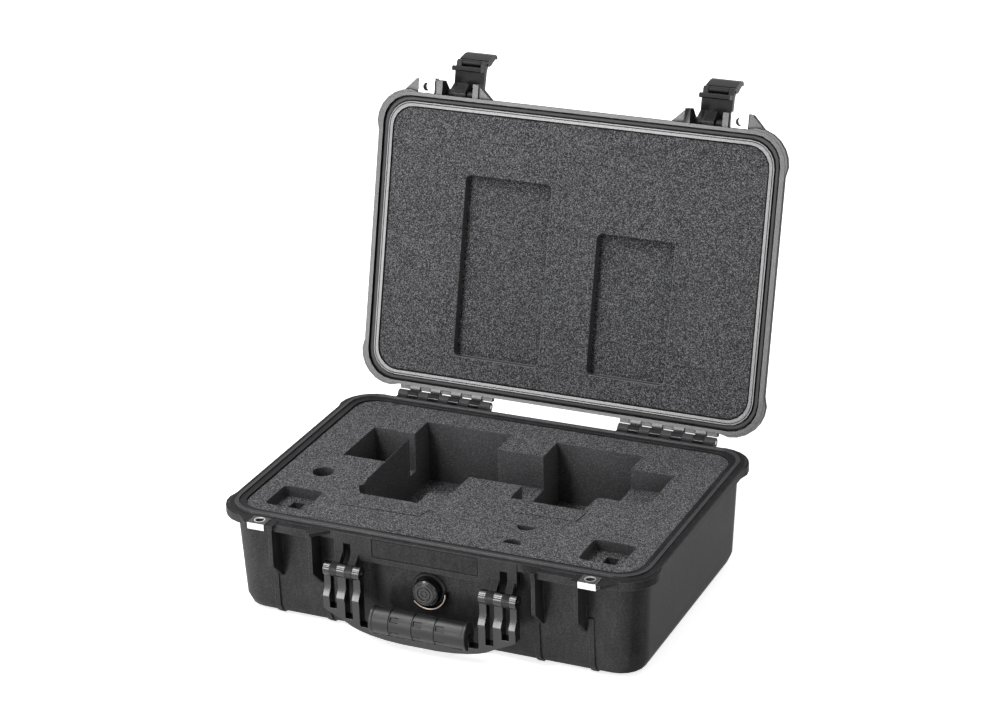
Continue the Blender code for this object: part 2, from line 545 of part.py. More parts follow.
# Handle: three prongs on each side run into a bow, with a rubber grip moulded round its bar
hy, hz = GRIP_PIVOT_Y, GRIP_PIVOT_Z
gy = hy - GRIP_BACK
HALF_BOW = ((0.0180, hz - 0.0654), (0.0360, hz - 0.0643), (0.0520, hz - 0.0620), (0.0640, hz - 0.0592),
            (0.0720, hz - 0.0563), (0.0860, hz - 0.0488), (0.0960, hz - 0.0444), (0.1028, hz - 0.0405),
            (0.1028, hz - 0.0250), (0.0638, hz - 0.0250), (0.0638, hz - 0.0525), (0.0622, hz - 0.0545),
            (0.0535, hz - 0.0545), (0.0525, hz - 0.0446))
BOW = HALF_BOW + tuple((-x, z) for x, z in reversed(HALF_BOW))
bow = loft([[(x, y, z) for x, z in BOW] for y in (hy - 0.0080, hy + 0.0036)])
handle = make(bow, "handle_frame", LATCH, swing)
prong = [(hy + 0.0034, hz - 0.0310)]
for i in range(13):
    a = math.radians(-60 + 24.6 * i)
    prong.append((hy + GRIP_R * math.cos(a), hz + GRIP_R * math.sin(a)))
prong += [(hy - 0.0040, hz - 0.0180), (hy - 0.0088, hz - 0.0258), (hy - 0.0088, hz - 0.0300),
          (hy - 0.0077, hz - 0.0312)]
combine(handle, "UNION", [prism_x(prong, *span(side, *ends)) for side in (-1, 1) for ends in PRONGS])
cuts = both(lambda s: rod_x(*span(s, 0.0600, 0.1050), hy, hz, 0.0019 + GAP, 12))
for side in (-1, 1):
    for low, high, deep in ((0.0712, 0.0795, 0.0482), (0.0882, 0.0960, 0.0393)):
        cuts.append(box(*span(side, low, high), hy - 0.02, hy + 0.02, hz - deep, hz - 0.0200))
# A neck on the bow's lower band for the rubber
cuts.append(box(-0.0525, 0.0525, hy - 0.02, gy - 0.0030, hz - 0.0588, hz - 0.0300))
cuts.append(box(-0.0525, 0.0525, gy + 0.0030, hy + 0.02, hz - 0.0588, hz - 0.0300))
combine(handle, "DIFFERENCE", cuts)
SHAPE = ((-0.0515, 1.05), (-0.0480, 1.05), (-0.0460, 0.96), (-0.0316, 1.0), (-0.0301, 0.94), (-0.0286, 1.0),
         (-0.0066, 1.02), (-0.0050, 0.96), (-0.0034, 1.02), (0.0174, 1.0), (0.0189, 0.94), (0.0204, 1.0),
         (0.0460, 0.96), (0.0480, 1.05), (0.0515, 1.05))
grip_rings = []
for x, size in SHAPE:
    ring = []
    for i in range(20):
        a = 2 * math.pi * i / 20
        ring.append((x, gy + 0.0116 * size * math.cos(a), hz - GRIP_DROP + 0.0138 * size * math.sin(a)))
    grip_rings.append(ring)
grip = make(loft(grip_rings), "handle_grip", RUBBER, swing)
combine(grip, "DIFFERENCE", [box(-0.06, 0.06, gy - 0.0033, gy + 0.0033, hz - 0.0700, hz - 0.0443),
                             box(-0.06, 0.06, gy - 0.03, gy + 0.03, hz - 0.0700, hz - 0.0585)])

# Vent: a threaded body with its cap outside, a seal behind the cap and a nut inside
BODY = ((0.0080, 0.0072), (0.0080, -0.0149))
vent = make(loft(vent_rings(BODY, 20)), "vent_body", LATCH)
combine(vent, "UNION", [loft(vent_rings(((0.0118, 0.0087), (0.0118, 0.0062))))])
CAP = ((0.0040, 0.0130), (0.0050, 0.0138), (0.0090, 0.0138), (0.0098, 0.0130), (0.0110, 0.0132),
       (0.0126, 0.0126), (0.0135, 0.0114), (0.0138, 0.0052), (0.0124, 0.0052), (0.0124, 0.0090),
       (0.0040, 0.0090))
make(loft(vent_rings(CAP, 28)), "vent_cap", LATCH)
RING = ((0.0086, 0.0014), (0.0086, 0.0056), (0.0112, 0.0056), (0.0112, 0.0014))
make(loft(vent_rings(RING, 20), False), "vent_seal", RUBBER)
nut = make(loft(vent_rings(((0.0130, -0.0089), (0.0130, -0.0145)), 6)), "vent_nut", LATCH)
combine(nut, "DIFFERENCE", [loft(turned_y(((0.0083, -0.150), (0.0083, -0.120)), 0.0, VENT_Z, 20))])
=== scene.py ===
"""Dresses the drone carrying case: finished shells, cut foam, latches, handle, vent and studio."""
import math

import bmesh
import bpy
from bpy.props import FloatProperty, FloatVectorProperty, PointerProperty
from mathutils import Matrix, Vector


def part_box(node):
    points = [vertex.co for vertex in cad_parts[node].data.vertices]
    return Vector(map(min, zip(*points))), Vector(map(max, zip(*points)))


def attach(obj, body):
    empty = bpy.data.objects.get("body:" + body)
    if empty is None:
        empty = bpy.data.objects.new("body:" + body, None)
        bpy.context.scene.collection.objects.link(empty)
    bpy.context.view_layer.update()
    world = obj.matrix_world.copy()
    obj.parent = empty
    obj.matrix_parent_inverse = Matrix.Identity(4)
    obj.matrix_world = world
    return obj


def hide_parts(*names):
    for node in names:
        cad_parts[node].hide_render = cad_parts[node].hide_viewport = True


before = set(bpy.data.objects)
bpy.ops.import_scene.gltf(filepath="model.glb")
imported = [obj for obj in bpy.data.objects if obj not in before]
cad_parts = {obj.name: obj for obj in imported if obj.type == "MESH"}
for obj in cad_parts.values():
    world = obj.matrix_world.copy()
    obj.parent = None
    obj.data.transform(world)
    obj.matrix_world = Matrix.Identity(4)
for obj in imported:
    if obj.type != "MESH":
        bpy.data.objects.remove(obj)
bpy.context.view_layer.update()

bl_info = {
    "name": "Drone carrying case",
    "version": (1, 0, 0),
    "blender": (4, 5, 0),
    "location": "View3D > Sidebar > Case",
    "description": "Builds the looks of a hard carrying case with cut foam",
    "category": "Add Mesh",
}

SIDES = ("left", "right")
UP = (0.0, 0.0, 1.0)
FORWARD = (0.0, -1.0, 0.0)

# Places on the case in metres: rim, hinge line, padlock holes with the ring round each that keeps the steel's
# colour
RIM_Z = 0.115
HINGE_Y, HINGE_Z = 0.1685, 0.1137
LOCK_X, LOCK_Y = 0.176, -0.1655
LOCK_RING = 0.0056

# The way that the open lid's inner face looks, and half-way between the ways that the rounded
# lower and right edges of its foam's recesses look
LID_FACE = (0.0, -0.97110, 0.23853)
LID_EDGES = (-0.5298, -0.5167, 0.6724)

# Half sizes and corner radius of rounded rectangles on the closed lid: the line on its lip, its foam
LID_LINE = ((0.2158, 0.1470), 0.0260)
LID_LINE_HALF = 0.00045
LID_FOAM = ((0.2118, 0.1431), 0.0236)

# Width of the painted shade line inside the name plate's border, in metres
PLATE_SHADE_LINE = 0.0010
KNIFE_SLITS = (((-0.120, -0.1010), (-0.034, -0.0980)), ((-0.034, -0.0980), (-0.029, -0.0810)),
               ((0.048, -0.0560), (0.116, -0.0525)), ((0.116, -0.0525), (0.118, -0.0320)))
SLIT_DEPTH = 0.006

# How far sharp edges are rounded, in metres
MOULDED_ROUND = 0.0005
BOW_ROUND = 0.0006
STEEL_ROUND = 0.0003

# How many times the panel's foam edge the lid's foam is rounded
LID_FOAM_ROUNDER = 1.7

# Rounding starts from this angle, and faces within the other are joined first, in degrees
ROUND_FROM = 40.0
FLAT_WITHIN = 1.0

# Points closer than these are merged, in metres: of a CAD node, of its slivers, of the turned cap
MERGE_WITHIN = 0.000004
SLIVER_WITHIN = 0.000002
CAP_MERGE_WITHIN = 0.00001

# Edges sharper than these stay creased, in degrees
SHELL_CREASE = 32.0
PLAIN_CREASE = 35.0
TURNED_CREASE = 30.0
FOAM_CREASE = 50.0
ROUND_CREASE = 60.0

# Texture scales, in features per metre
CLOUD_SCALE, SMEAR_SCALE, SKIN_SCALE, FINE_SCALE = 26.0, 170.0, 900.0, 620.0
FOAM_COARSE, FOAM_SMALL, FOAM_PORES, FOAM_BLOTCH, FOAM_BROAD = 1250.0, 1900.0, 720.0, 260.0, 14.0
BRUSH_SCALE, STEEL_SMEAR = 900.0, 90.0
DUST_SCALE, RUBBER_SKIN = 60.0, 1800.0

# Tone that the foam's cut walls are drawn to: smoother than the skin, and darker as painted shade
FOAM_WALL_SHADE_TONE = 0.33
# Face attribute of the grip's pressed marks, where painted shade goes
PRESSED = "pressed"


class CaseSizes(bpy.types.PropertyGroup):
    """Sizes of the finish that a user may want to change."""

    edge_round: FloatProperty(name="Edge round", description="Radius of the moulded edges in the shading",
                              default=0.0006, min=0.0001, max=0.004, subtype="DISTANCE", unit="LENGTH")
    foam_edge: FloatProperty(name="Foam edge", description="How far the cut foam's edges are rounded",
                             default=0.0008, min=0.0001, max=0.004, subtype="DISTANCE", unit="LENGTH")
    slit_width: FloatProperty(name="Slit width", description="Width of the knife slits in the base foam",
                              default=0.0021, min=0.0002, max=0.004, subtype="DISTANCE", unit="LENGTH")


class CaseColours(bpy.types.PropertyGroup):
    """Colours of the finishes, in linear light."""

    shell: FloatVectorProperty(name="Shell", description="Moulded shell plastic", subtype="COLOR", size=3,
                               default=(0.0250, 0.0250, 0.0262), min=0, max=1)
    satin: FloatVectorProperty(name="Latches", description="Latches, handle and vent", subtype="COLOR",
                               size=3, default=(0.0060, 0.0060, 0.0064), min=0, max=1)
    foam: FloatVectorProperty(name="Foam", description="Charcoal foam", subtype="COLOR", size=3,
                              default=(0.068, 0.068, 0.071), min=0, max=1)
    seal: FloatVectorProperty(name="Seal", description="Rubber seal in the lid", subtype="COLOR", size=3,
                              default=(0.055, 0.055, 0.057), min=0, max=1)
    grip: FloatVectorProperty(name="Grip", description="Rubber sleeve of the handle", subtype="COLOR", size=3,
                              default=(0.0120, 0.0120, 0.0125), min=0, max=1)
    # The bead is a painted highlight: a bright warm metal arc along the vent's lower side
    bead: FloatVectorProperty(name="Bead", description="Warm metal bead round the vent", subtype="COLOR",
                              size=3, default=(0.72, 0.60, 0.51), min=0, max=1)
    steel: FloatVectorProperty(name="Steel", description="Padlock plates and pins", subtype="COLOR", size=3,
                               default=(0.70, 0.70, 0.69), min=0, max=1)


class Value:
    """A shader socket that takes part in Python arithmetic."""

    def __init__(self, graph, socket):
        self.graph = graph
        self.socket = socket

    def _math(self, operation, *others):
        terms = dict(enumerate((self, *others)))
        return self.graph.node("ShaderNodeMath", {"operation": operation}, terms).out()

    def __add__(self, other):
        return self._math("ADD", other)

    def __sub__(self, other):
        return self._math("SUBTRACT", other)

    def __rsub__(self, other):
        return self.graph.node("ShaderNodeMath", {"operation": "SUBTRACT"}, {0: other, 1: self}).out()

    def __mul__(self, other):
        return self._math("MULTIPLY", other)

    __radd__ = __add__
    __rmul__ = __mul__

    def above(self, limit):
        return self._math("GREATER_THAN", limit)

    def below(self, limit):
        return self._math("LESS_THAN", limit)

    def power(self, exponent):
        return self._math("POWER", exponent)

    def size(self):
        return self._math("ABSOLUTE")

    def most(self, other):
        return self._math("MAXIMUM", other)

    def least(self, other):
        return self._math("MINIMUM", other)

    def spread(self, low, high, to_low=0.0, to_high=1.0):
        """Map a range onto another, held at both ends."""
        return self.graph.node("ShaderNodeMapRange", {"clamp": True},
                               {0: self, 1: low, 2: high, 3: to_low, 4: to_high}).out()


class Made:
    """A node just added, with its outputs ready to use."""

    def __init__(self, graph, node):
        self.graph = graph
        self.node = node

    def out(self, name=0):
        return Value(self.graph, self.node.outputs[name])


class Graph:
    """The node tree of a material or world, with a single way to add nodes."""

    def __init__(self, owner, shader="Principled BSDF"):
        owner.use_nodes = True
        self.owner = owner
        self.tree = owner.node_tree
        self.shader = self.tree.nodes[shader]

    def put(self, socket, value):
        if isinstance(value, Value):
            self.tree.links.new(value.socket, socket)
        else:
            socket.default_value = value

    def node(self, kind, settings=None, inputs=None):
        made = self.tree.nodes.new(kind)
        for key, value in (settings or {}).items():
            setattr(made, key, value)
        for key, value in (inputs or {}).items():
            self.put(made.inputs[key], value)
        return Made(self, made)

    def set(self, **sockets):
        for key, value in sockets.items():
            self.put(self.shader.inputs[key.replace("_", " ")], value)

    def place(self, scale=(1.0, 1.0, 1.0)):
        """Object coordinates, in metres, stretched by scale."""
        coordinate = self.node("ShaderNodeTexCoord").out("Object")
        return self.node("ShaderNodeMapping", None, {"Vector": coordinate, "Scale": scale}).out()

    def axes(self):
        """Object coordinates as three numbers."""
        split = self.node("ShaderNodeSeparateXYZ", None, {0: self.node("ShaderNodeTexCoord").out("Object")})
        return split.out(0), split.out(1), split.out(2)

    def facing(self, direction):
        """How squarely the surface faces a direction of the piece's own space."""
        normal = self.node("ShaderNodeTexCoord").out("Normal")
        return self.node("ShaderNodeVectorMath", {"operation": "DOT_PRODUCT"},
                         {0: normal, 1: direction}).out("Value")

    def lid_place(self):
        """Across and along the lid's face, as it lies when closed."""
        x, y, z = self.axes()
        return x, (y - HINGE_Y) * -LID_FACE[2] + (z - HINGE_Z) * LID_FACE[1] + HINGE_Y

    def openness(self, reach):
        """1 on open surfaces and less inside the piece's own hollows, seen over a reach."""
        return self.node("ShaderNodeAmbientOcclusion", {"samples": 12, "only_local": True},
                         {"Distance": reach}).out("AO")

    def noise(self, vector, scale, detail=3.0, rough=0.55):
        return self.node("ShaderNodeTexNoise", None, {"Vector": vector, "Scale": scale, "Detail": detail,
                                                      "Roughness": rough}).out("Fac")

    def cells(self, vector, scale):
        return self.node("ShaderNodeTexVoronoi", None, {"Vector": vector, "Scale": scale}).out("Distance")

    def grains(self, vector, scale):
        """One random number for each cell."""
        colour = self.node("ShaderNodeTexVoronoi", None, {"Vector": vector, "Scale": scale}).out("Color")
        return self.node("ShaderNodeSeparateColor", None, {0: colour}).out(0)

    def tint(self, factor, low, high):
        """A colour between two, by a number."""
        low, high = (end if isinstance(end, Value) else (*end, 1.0) for end in (low, high))
        return self.node("ShaderNodeMix", {"data_type": "RGBA"}, {0: factor, 6: low, 7: high}).out(2)

    def relief(self, height, strength, distance, edge):
        """Bump on top of softly rounded edges; edge is their radius."""
        soft = self.node("ShaderNodeBevel", {"samples": 6}, {"Radius": edge}).out()
        return self.node("ShaderNodeBump", None, {"Strength": strength, "Distance": distance,
                                                  "Height": height, "Normal": soft}).out()

    def edges(self, radius):
        """About 1 along sharp edges and 0 on the flats."""
        soft = self.node("ShaderNodeBevel", {"samples": 6}, {"Radius": radius}).out()
        flat = self.node("ShaderNodeNewGeometry").out("Normal")
        dot = self.node("ShaderNodeVectorMath", {"operation": "DOT_PRODUCT"}, {0: soft, 1: flat}).out("Value")
        return dot.spread(0.995, 0.80)

    def seen(self):
        """At least 1 for what the camera sees, straight or by gloss or glass, and 0 for what only lights."""
        path = self.node("ShaderNodeLightPath")
        return path.out("Is Camera Ray") + path.out("Is Glossy Ray") + path.out("Is Transmission Ray")


def past_rectangle(place, half, radius):
    """Distance outside a rounded rectangle about the origin, negative inside it."""
    across = place[0].size() - (half[0] - radius)
    along = place[1].size() - (half[1] - radius)
    corner = across.most(0.0) * across.most(0.0) + along.most(0.0) * along.most(0.0)
    return corner.power(0.5) + across.most(along).least(0.0) - radius


def shade(colour, factor):
    return tuple(channel * factor for channel in colour)


class Plastic(Graph):
    """Injection-moulded plastic: pebbled skin, faint flow marks, and sharp edges painted paler and smoother
    as a painted highlight.
    """

    def __init__(self, name, colour, rough, pebble, edge, gloss):
        super().__init__(bpy.data.materials.new(name))
        here = self.place()
        cloud = self.noise(here, CLOUD_SCALE, 4.0)
        smear = self.noise(self.place((1.0, 1.0, 0.25)), SMEAR_SCALE)
        skin = self.cells(here, SKIN_SCALE)
        # Painted highlight: about 1 along sharp edges, where the colour is paler and the roughness lower
        edge_highlight = self.edges(edge * 1.3)
        flow = cloud.spread(0.3, 0.7) * 0.12 + smear.spread(0.45, 0.75) * 0.10
        self.fine = self.noise(here, FINE_SCALE)
        self.tone = flow + self.fine.spread(0.40, 0.68) * 0.13 + edge_highlight * 0.75
        self.dark, self.pale = shade(colour, 0.42), shade(colour, 4.2)
        self.set(Roughness=rough + (cloud - 0.5) * 0.14 + (smear - 0.5) * 0.16 - edge_highlight * 0.10,
                 Normal=self.relief(skin * 0.7 + self.fine * 0.4 + smear * 0.9, pebble, 0.00035, edge),
                 Specular_IOR_Level=gloss)

    def coloured(self):
        """The material with its colour, once its tone is settled."""
        self.set(Base_Color=self.tint(self.tone, self.dark, self.pale))
        return self.owner


def base_plastic(colour, edge):
    """Shell plastic, smoother on the front, with the rim's ridge painted pale as a highlight."""
    g = Plastic("base_plastic", colour, 0.42, 0.10, edge, 0.04)
    # Painted highlight: everything above the rim's ridge line is painted paler
    g.tone = g.tone + g.axes()[2].above(RIM_Z + 0.0010) * 0.40
    front = g.facing(FORWARD).spread(0.74, 0.98)
    g.set(Coat_Weight=front * (0.38 + (g.fine - 0.5) * 0.5), Coat_Roughness=0.30)
    return g.coloured()


def lid_plastic(colour, edge):
    """Shell plastic with polished parting faces and a fine line round the inner one."""
    g = Plastic("lid_plastic", colour, 0.42, 0.10, edge, 0.04)
    past = past_rectangle(g.lid_place(), *LID_LINE)
    line = past.size().below(LID_LINE_HALF)
    g.tone = g.tone * (1 - line)
    square = g.facing(LID_FACE).above(0.985) * g.openness(0.008).spread(0.55, 0.95) * (1 - line)
    inner = past.spread(0.0030, 0.0032, 1.0, 0.62)
    g.set(Coat_Weight=square * inner * (1.0 + (g.fine - 0.5) * 0.9), Coat_Roughness=0.16, Coat_IOR=1.65)
    return g.coloured()


def plate_plastic(colour, edge, box):
    """The name plate's plastic, with a dark line of painted shade inside its border, where the gap round it
    is in shade.
    """
    g = Plastic("plate_plastic", colour, 0.40, 0.08, edge, 0.12)
    (x0, _, z0), (x1, _, z1) = box
    x, _, z = g.axes()
    # Painted shade: a dark line along the plate's ends and sides, for the gap round it
    ends = (x - (x0 + x1) / 2).size().above((x1 - x0) / 2 - PLATE_SHADE_LINE)
    sides = (z - (z0 + z1) / 2).size().above((z1 - z0) / 2 - PLATE_SHADE_LINE)
    g.tone = g.tone * (1 - ends) * (1 - sides) - (ends + sides) * 0.3
    return g.coloured()


def satin_plastic(colour, edge):
    """Smooth glossy plastic of the handle's bow and the vent."""
    return Plastic("satin_plastic", colour, 0.20, 0.04, edge * 0.8, 0.60).coloured()


def latch_plastic(colour, edge):
    """Duller plastic of the latches."""
    return Plastic("latch_plastic", colour, 0.38, 0.05, edge, 0.16).coloured()


def slit_mask(g, slits):
    """1 in knife slits along given lines of the base foam's top, and 0 elsewhere."""
    x, y, z = g.axes()
    half = bpy.context.scene.case_sizes.slit_width / 2
    masks = []
    for (x0, y0), (x1, y1) in slits:
        length = math.hypot(x1 - x0, y1 - y0)
        ux, uy = (x1 - x0) / length, (y1 - y0) / length
        along = (x - x0) * ux + (y - y0) * uy
        aside = ((x - x0) * -uy + (y - y0) * ux).size()
        masks.append(aside.spread(half, half * 0.4) * along.above(0.0) * along.below(length))
    return sum(masks[1:], masks[0]) * z.above(RIM_Z - SLIT_DEPTH)


def open_cell_foam(name, colour, slits=(), framed=False):
    """Charcoal foam: pores in its skin, smoother cut walls painted darker as shade, painted shade in its
    hollows, paler sharp edges as a painted highlight, and knife slits along given lines painted dark as
    the shade in them.

    Framed foam lies in the lid, with a dark gap of painted shade round it, and lower and right edges of
    its recesses painted pale as a highlight.
    """
    g = Graph(bpy.data.materials.new(name))
    here = g.place()
    coarse = g.grains(here, FOAM_COARSE)
    small = g.grains(here, FOAM_SMALL)
    blotch = g.noise(here, FOAM_BLOTCH)
    broad = g.noise(here, FOAM_BROAD, 2.0)
    web = coarse.power(6.0) * 1.8 + small.power(4.0) * 0.6 + blotch.spread(0.3, 0.7) * 0.08
    # Painted shade: away from the skin's face the grain fades into a darker, even wall tone
    skin = g.facing(LID_FACE if framed else UP).spread(0.4, 0.8)
    web = FOAM_WALL_SHADE_TONE + (web - FOAM_WALL_SHADE_TONE) * (0.22 + skin * 0.78)
    # Painted shade: darker on the walls and floors of pockets and other hollows
    hollow = g.openness(0.045).spread(0.20, 0.98, 0.40, 1.0)
    # Painted highlight: the foam's sharp edges a little paler
    tone = web * (0.85 + broad * 0.3) * hollow + g.edges(0.0014) * 0.10
    height = g.cells(here, FOAM_PORES) * 0.9 + small * 0.4 + blotch * 0.4
    if framed:
        # Painted highlight: the lower and right edges of the lid's recesses painted pale
        tone = tone + g.facing(LID_EDGES).spread(0.68, 0.75) * 1.3
        # Painted shade: a dark gap along the lid foam's outer edge
        tone = tone * past_rectangle(g.lid_place(), *LID_FOAM).spread(-0.0016, -0.0008, 1.0, 0.0)
    if slits:
        # Painted shade: the knife slits are painted dark, and sunk by bump
        cut = slit_mask(g, slits)
        tone = tone * (1 - cut)
        height = height - cut * 3.0
    g.set(Base_Color=g.tint(tone, shade(colour, 0.10), shade(colour, 3.50)), Roughness=0.97,
          Normal=g.relief(height, 0.60, 0.0008, 0.0006), Specular_IOR_Level=0.25)
    return g.owner


def brushed_steel(name, colour, along, ringed=False):
    """Stainless steel with fine brush lines; along stretches them.

    A ringed plate keeps its steel colour on its face and round its hole; the rest of its top is painted
    dark, rough and not metal, as a painted reflection of the dark case.
    """
    g = Graph(bpy.data.materials.new(name))
    lines = g.noise(g.place(along), BRUSH_SCALE, 3.0, 0.7)
    smear = g.noise(g.place(), STEEL_SMEAR)
    paint = g.tint(lines * 0.6 + smear * 0.4, shade(colour, 0.82), shade(colour, 1.12))
    rough = 0.24 + lines * 0.14 + smear * 0.08
    metal = 1.0
    if ringed:
        x, y, _ = g.axes()
        aside = x.size() - LOCK_X
        ahead = y - LOCK_Y
        reach = (aside * aside + ahead * ahead).power(0.5)
        # Painted reflection: the plate's top away from the hole is painted dark
        painted_dark_top = g.facing(UP).above(0.7) * reach.above(LOCK_RING)
        paint = g.tint(painted_dark_top, paint, shade(bpy.context.scene.case_colours.shell, 1.4))
        rough = rough + painted_dark_top * 0.20
        metal = 1 - painted_dark_top
    g.set(Base_Color=paint, Roughness=rough, Metallic=metal, Normal=g.relief(lines, 0.10, 0.0001, 0.0003))
    return g.owner


def soft_rubber(name, colour, rough, grain, marked=False):
    """Dull rubber with a dusty bloom; marked rubber has painted shade, dark where the mesh says it is
    pressed.
    """
    g = Graph(bpy.data.materials.new(name))
    here = g.place()
    dust = g.noise(here, DUST_SCALE, 4.0)
    skin = g.noise(here, RUBBER_SKIN)
    tone = dust * 0.6 + skin * 0.4
    if marked:
        # Painted shade: the pressed marks painted dark
        tone = tone * (1 - g.node("ShaderNodeAttribute", {"attribute_name": PRESSED}).out("Fac"))
    g.set(Base_Color=g.tint(tone, shade(colour, 0.30), shade(colour, 1.70)),
          Roughness=rough + (dust - 0.5) * 0.2, Normal=g.relief(skin, grain, 0.0002, 0.0005),
          Specular_IOR_Level=0.40)
    return g.owner


ALONG_X = (0.06, 1.0, 1.0)
ALONG_PIN = (0.05, 1.0, 1.0)
EVEN = (1.0, 1.0, 1.0)

# Each finish: its material slot, and how it is made from the panel's colours and edge radius
FINISHES = {
    "shell": ("shell", lambda c, edge: base_plastic(c.shell, edge)),
    "lid": ("shell", lambda c, edge: lid_plastic(c.shell, edge)),
    "plate": ("satin", lambda c, edge: plate_plastic(shade(c.shell, 1.35), edge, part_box("name_plate"))),
    "satin": ("satin", lambda c, edge: satin_plastic(c.satin, edge)),
    "latch": ("satin", lambda c, edge: latch_plastic(c.satin, edge)),
    "steel": ("steel", lambda c, edge: brushed_steel("stainless", c.steel, ALONG_X)),
    "ringed_steel": ("steel", lambda c, edge: brushed_steel("ringed_stainless", c.steel, ALONG_X, True)),
    "bead": ("steel", lambda c, edge: brushed_steel("bead_metal", c.bead, EVEN)),
    "pin": ("pin", lambda c, edge: brushed_steel("pin_steel", shade(c.steel, 0.8), ALONG_PIN)),
    "seal": ("rubber", lambda c, edge: soft_rubber("seal_rubber", c.seal, 0.62, 0.2)),
    "grip": ("rubber", lambda c, edge: soft_rubber("grip_rubber", c.grip, 0.40, 0.30, True)),
    "foam": ("foam", lambda c, edge: open_cell_foam("cut_foam", c.foam)),
    "slit_foam": ("foam", lambda c, edge: open_cell_foam("slit_foam", c.foam, KNIFE_SLITS)),
    # Painted shade: the lid's foam is the base's foam painted 8 % darker
    "lid_foam": ("foam", lambda c, edge: open_cell_foam("lid_foam", shade(c.foam, 0.92), (), True)),
}
made_finishes = {}


def finish_of(name):
    """Each finish is made once, when a piece first asks for it."""
    if name not in made_finishes:
        scene = bpy.context.scene
        made_finishes[name] = FINISHES[name][1](scene.case_colours, scene.case_sizes.edge_round)
    return made_finishes[name]


def merged(node):
    """A CAD node's triangles as one closed bmesh."""
    bm = bmesh.new()
    bm.from_mesh(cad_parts[node].data)
    bmesh.ops.remove_doubles(bm, verts=bm.verts, dist=MERGE_WITHIN)
    bmesh.ops.dissolve_degenerate(bm, edges=bm.edges, dist=SLIVER_WITHIN)
    return bm


def finished(node, finish, body, crease=PLAIN_CREASE, soft=0.0):
    """A smooth-shaded copy of a CAD node that stands for it, with its sharp edges rounded by soft."""
    bm = merged(node)
    if soft:
        round_edges(bm, soft)
    return piece(bm, node + "_finish", finish, body, (node,), crease)


def round_edges(bm, soft):
    """Join the flats, then round every sharp edge."""
    bmesh.ops.dissolve_limit(bm, angle_limit=math.radians(FLAT_WITHIN), verts=bm.verts, edges=bm.edges)
    least = math.radians(ROUND_FROM)
    sharp = [e for e in bm.edges if len(e.link_faces) == 2 and e.calc_face_angle() > least]
    bmesh.ops.bevel(bm, geom=sharp, offset=soft, segments=2, profile=0.5, affect="EDGES", material=-1,
                    clamp_overlap=True)


def piece(bm, name, finish, body, nodes=(), crease=PLAIN_CREASE):
    """Turn a bmesh into a named piece that rides on a body."""
    mesh = bpy.data.meshes.new(name)
    bm.to_mesh(mesh)
    bm.free()
    mesh.shade_smooth()
    mesh.set_sharp_from_angle(angle=math.radians(crease))
    obj = bpy.data.objects.new(name, mesh)
    bpy.context.scene.collection.objects.link(obj)
    mesh.materials.append(finish_of(finish))
    even = obj.modifiers.new("Even shading", "WEIGHTED_NORMAL")
    even.keep_sharp = True
    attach(obj, body)
    if nodes:
        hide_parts(*nodes)
    return obj


class CASE_OT_shells(bpy.types.Operator):
    """Finish the moulded base and lid"""

    bl_idname = "case.shells"
    bl_label = "Shells"

    def execute(self, context):
        finished("base_shell", "shell", "base", SHELL_CREASE, MOULDED_ROUND)
        finished("lid_shell", "lid", "lid", SHELL_CREASE, MOULDED_ROUND)
        return {"FINISHED"}


class CASE_OT_foam(bpy.types.Operator):
    """Make the cut foam of base and lid with softened edges"""

    bl_idname = "case.foam"
    bl_label = "Foam"

    def execute(self, context):
        soft = context.scene.case_sizes.foam_edge
        for node, finish, body, rounder in (("base_foam", "slit_foam", "base", 1.0),
                                            ("base_foam_pad", "foam", "base", 1.0),
                                            ("lid_foam", "lid_foam", "lid", LID_FOAM_ROUNDER)):
            bm = merged(node)
            round_edges(bm, soft * rounder)
            made = piece(bm, node + "_finish", finish, body, (node,), FOAM_CREASE)
        return {"FINISHED"}


class CASE_OT_seal(bpy.types.Operator):
    """Make the rubber seal of the lid"""

    bl_idname = "case.seal"
    bl_label = "Seal"

    def execute(self, context):
        finished("lid_seal", "seal", "lid", ROUND_CREASE)
        return {"FINISHED"}


class CASE_OT_pins(bpy.types.Operator):
    """Make the steel pins of hinges, latches and handle"""

    bl_idname = "case.pins"
    bl_label = "Pins"

    def execute(self, context):
        for word in SIDES:
            finished(f"hinge_pin_{word}", "pin", "base")
            finished(f"handle_pin_{word}", "pin", "base")
            finished(f"latch_pin_{word}", "pin", "lid")
            finished(f"lever_pin_{word}", "pin", f"latch_{word}")
        return {"FINISHED"}


class CASE_OT_latches(bpy.types.Operator):
    """Finish the latch arms and levers"""

    bl_idname = "case.latches"
    bl_label = "Latches"

    def execute(self, context):
        for word in SIDES:
            finished(f"latch_arm_{word}", "latch", f"latch_{word}", PLAIN_CREASE, MOULDED_ROUND)
            finished(f"latch_lever_{word}", "latch", f"lever_{word}", PLAIN_CREASE, MOULDED_ROUND)
        return {"FINISHED"}


class CASE_OT_lock_plates(bpy.types.Operator):
    """Make the folded steel plates round the padlock holes"""

    bl_idname = "case.lock_plates"
    bl_label = "Padlock plates"

    def execute(self, context):
        for word in SIDES:
            finished(f"base_lock_plate_{word}", "ringed_steel", "base", PLAIN_CREASE, STEEL_ROUND)
            finished(f"lid_lock_plate_{word}", "steel", "lid", PLAIN_CREASE, STEEL_ROUND)
        return {"FINISHED"}


# The grip's middle, half thickness from front to back and from top to bottom, flat underside and grooves
GRIP_MIDDLE = Vector((0.0, -0.1725, 0.0322))
GRIP_HALF = (0.0116, 0.0138)
GRIP_FLOOR = 0.0195
GRIP_GROOVES = (-0.0301, -0.0050, 0.0189)
GRIP_SIDES = 60

